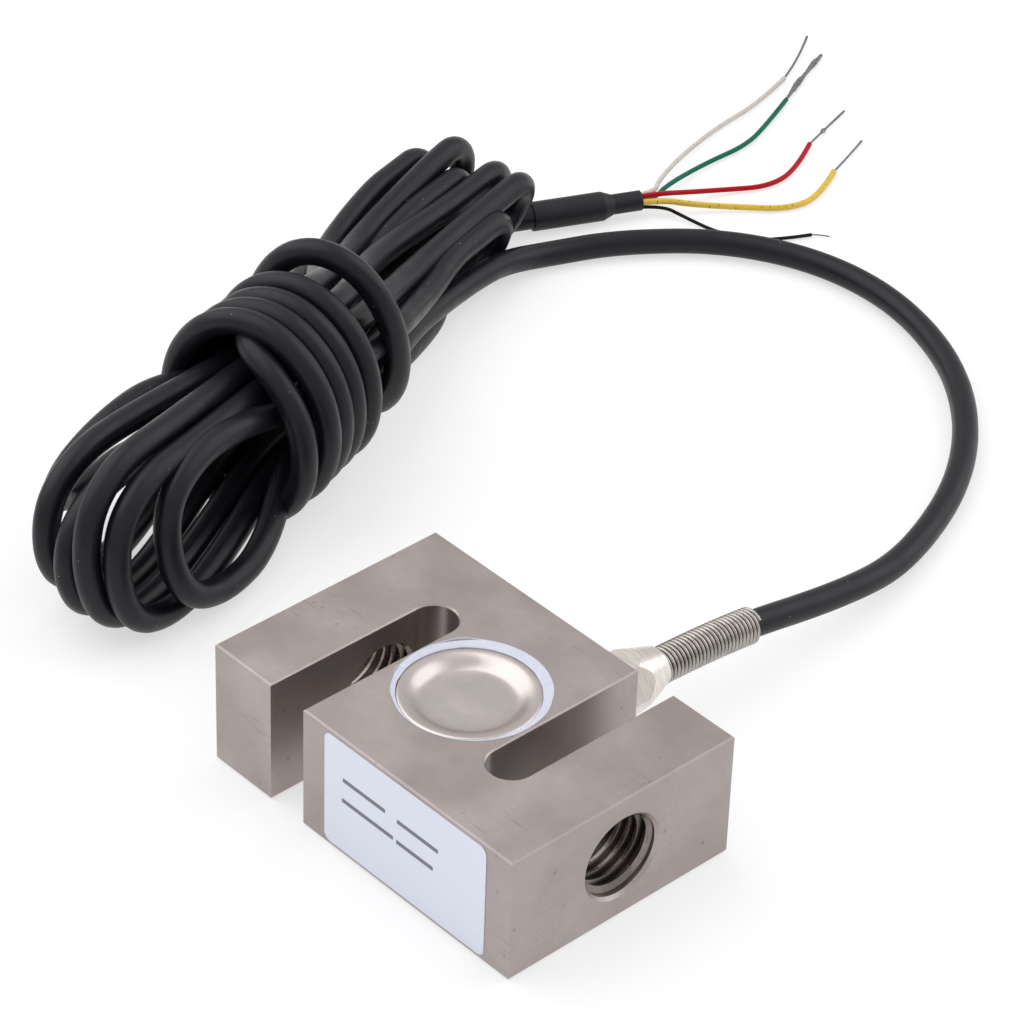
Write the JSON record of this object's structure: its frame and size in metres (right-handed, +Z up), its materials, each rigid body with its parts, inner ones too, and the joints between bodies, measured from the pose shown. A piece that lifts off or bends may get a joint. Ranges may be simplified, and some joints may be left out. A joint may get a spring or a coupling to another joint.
{
  "type": "s type load cell",
  "caption": "S-shaped steel beam force sensor with threaded ends, sealed gauge pockets and a sprung cable gland with its bundled signal cable.",
  "frame": {"origin": "middle of the block's underside, with the block lying on one large face", "axes": "+X along the load axis towards the threaded end whose slot opens on the gland's side, +Y along the block's width towards the cable gland, +Z up through the block's thickness"},
  "size_m": [0.1877, 0.2612, 0.0446],
  "materials": {
    "nickel_steel": "fine ground alloy steel under dull nickel plating, with faint grinding lines and small scratches",
    "bright_cup": "bright pressed stainless sheet",
    "white_sealant": "white silicone sealant, slightly glossy",
    "gauge_foil": "amber polyimide film with foil grid",
    "board_laminate": "green glass-epoxy laminate",
    "resistor_ceramic": "black-coated chip resistor",
    "core_insulation": "thin coloured core insulation",
    "tinned_wire": "tinned copper strand",
    "label_film": "pale satin sticker",
    "gland_nickel": "turned and milled brass under nickel plating",
    "seal_rubber": "black sealing rubber",
    "spring_steel": "bright stainless spring wire",
    "cable_jacket": "black soft-sheen PVC jacket",
    "sleeve_black": "black heat-shrink tubing",
    "wire_white": "white PVC insulation",
    "wire_green": "green PVC insulation",
    "wire_red": "red PVC insulation",
    "wire_yellow": "yellow PVC insulation",
    "wire_black": "black PVC insulation"
  },
  "bodies": {
    "root": {"sensor_body": "nickel_steel", "top_cover_cup": "bright_cup", "bottom_cover_cup": "bright_cup", "top_sealant_ring": "white_sealant", "bottom_sealant_ring": "white_sealant", "strain_gauge_top_rear": "gauge_foil", "strain_gauge_top_front": "gauge_foil", "strain_gauge_bottom_rear": "gauge_foil", "strain_gauge_bottom_front": "gauge_foil", "terminal_board": "board_laminate", "trim_resistors": "resistor_ceramic", "cable_core_wires": "core_insulation", "gauge_lead_wires": "tinned_wire", "web_jumper_wires": "tinned_wire", "side_label": "label_film", "cable_gland": "gland_nickel", "gland_seal": "seal_rubber", "strain_relief_spring": "spring_steel", "signal_cable": "cable_jacket", "cable_hank": "cable_jacket", "cable_tail": "cable_jacket", "heat_shrink_sleeve": "sleeve_black", "wire_white": "wire_white", "wire_green": "wire_green", "wire_red": "wire_red", "wire_yellow": "wire_yellow", "wire_black": "wire_black", "strand_white": "tinned_wire", "strand_green": "tinned_wire", "strand_red": "tinned_wire", "strand_yellow": "tinned_wire", "strand_black": "tinned_wire"}
  },
  "joints": []
}
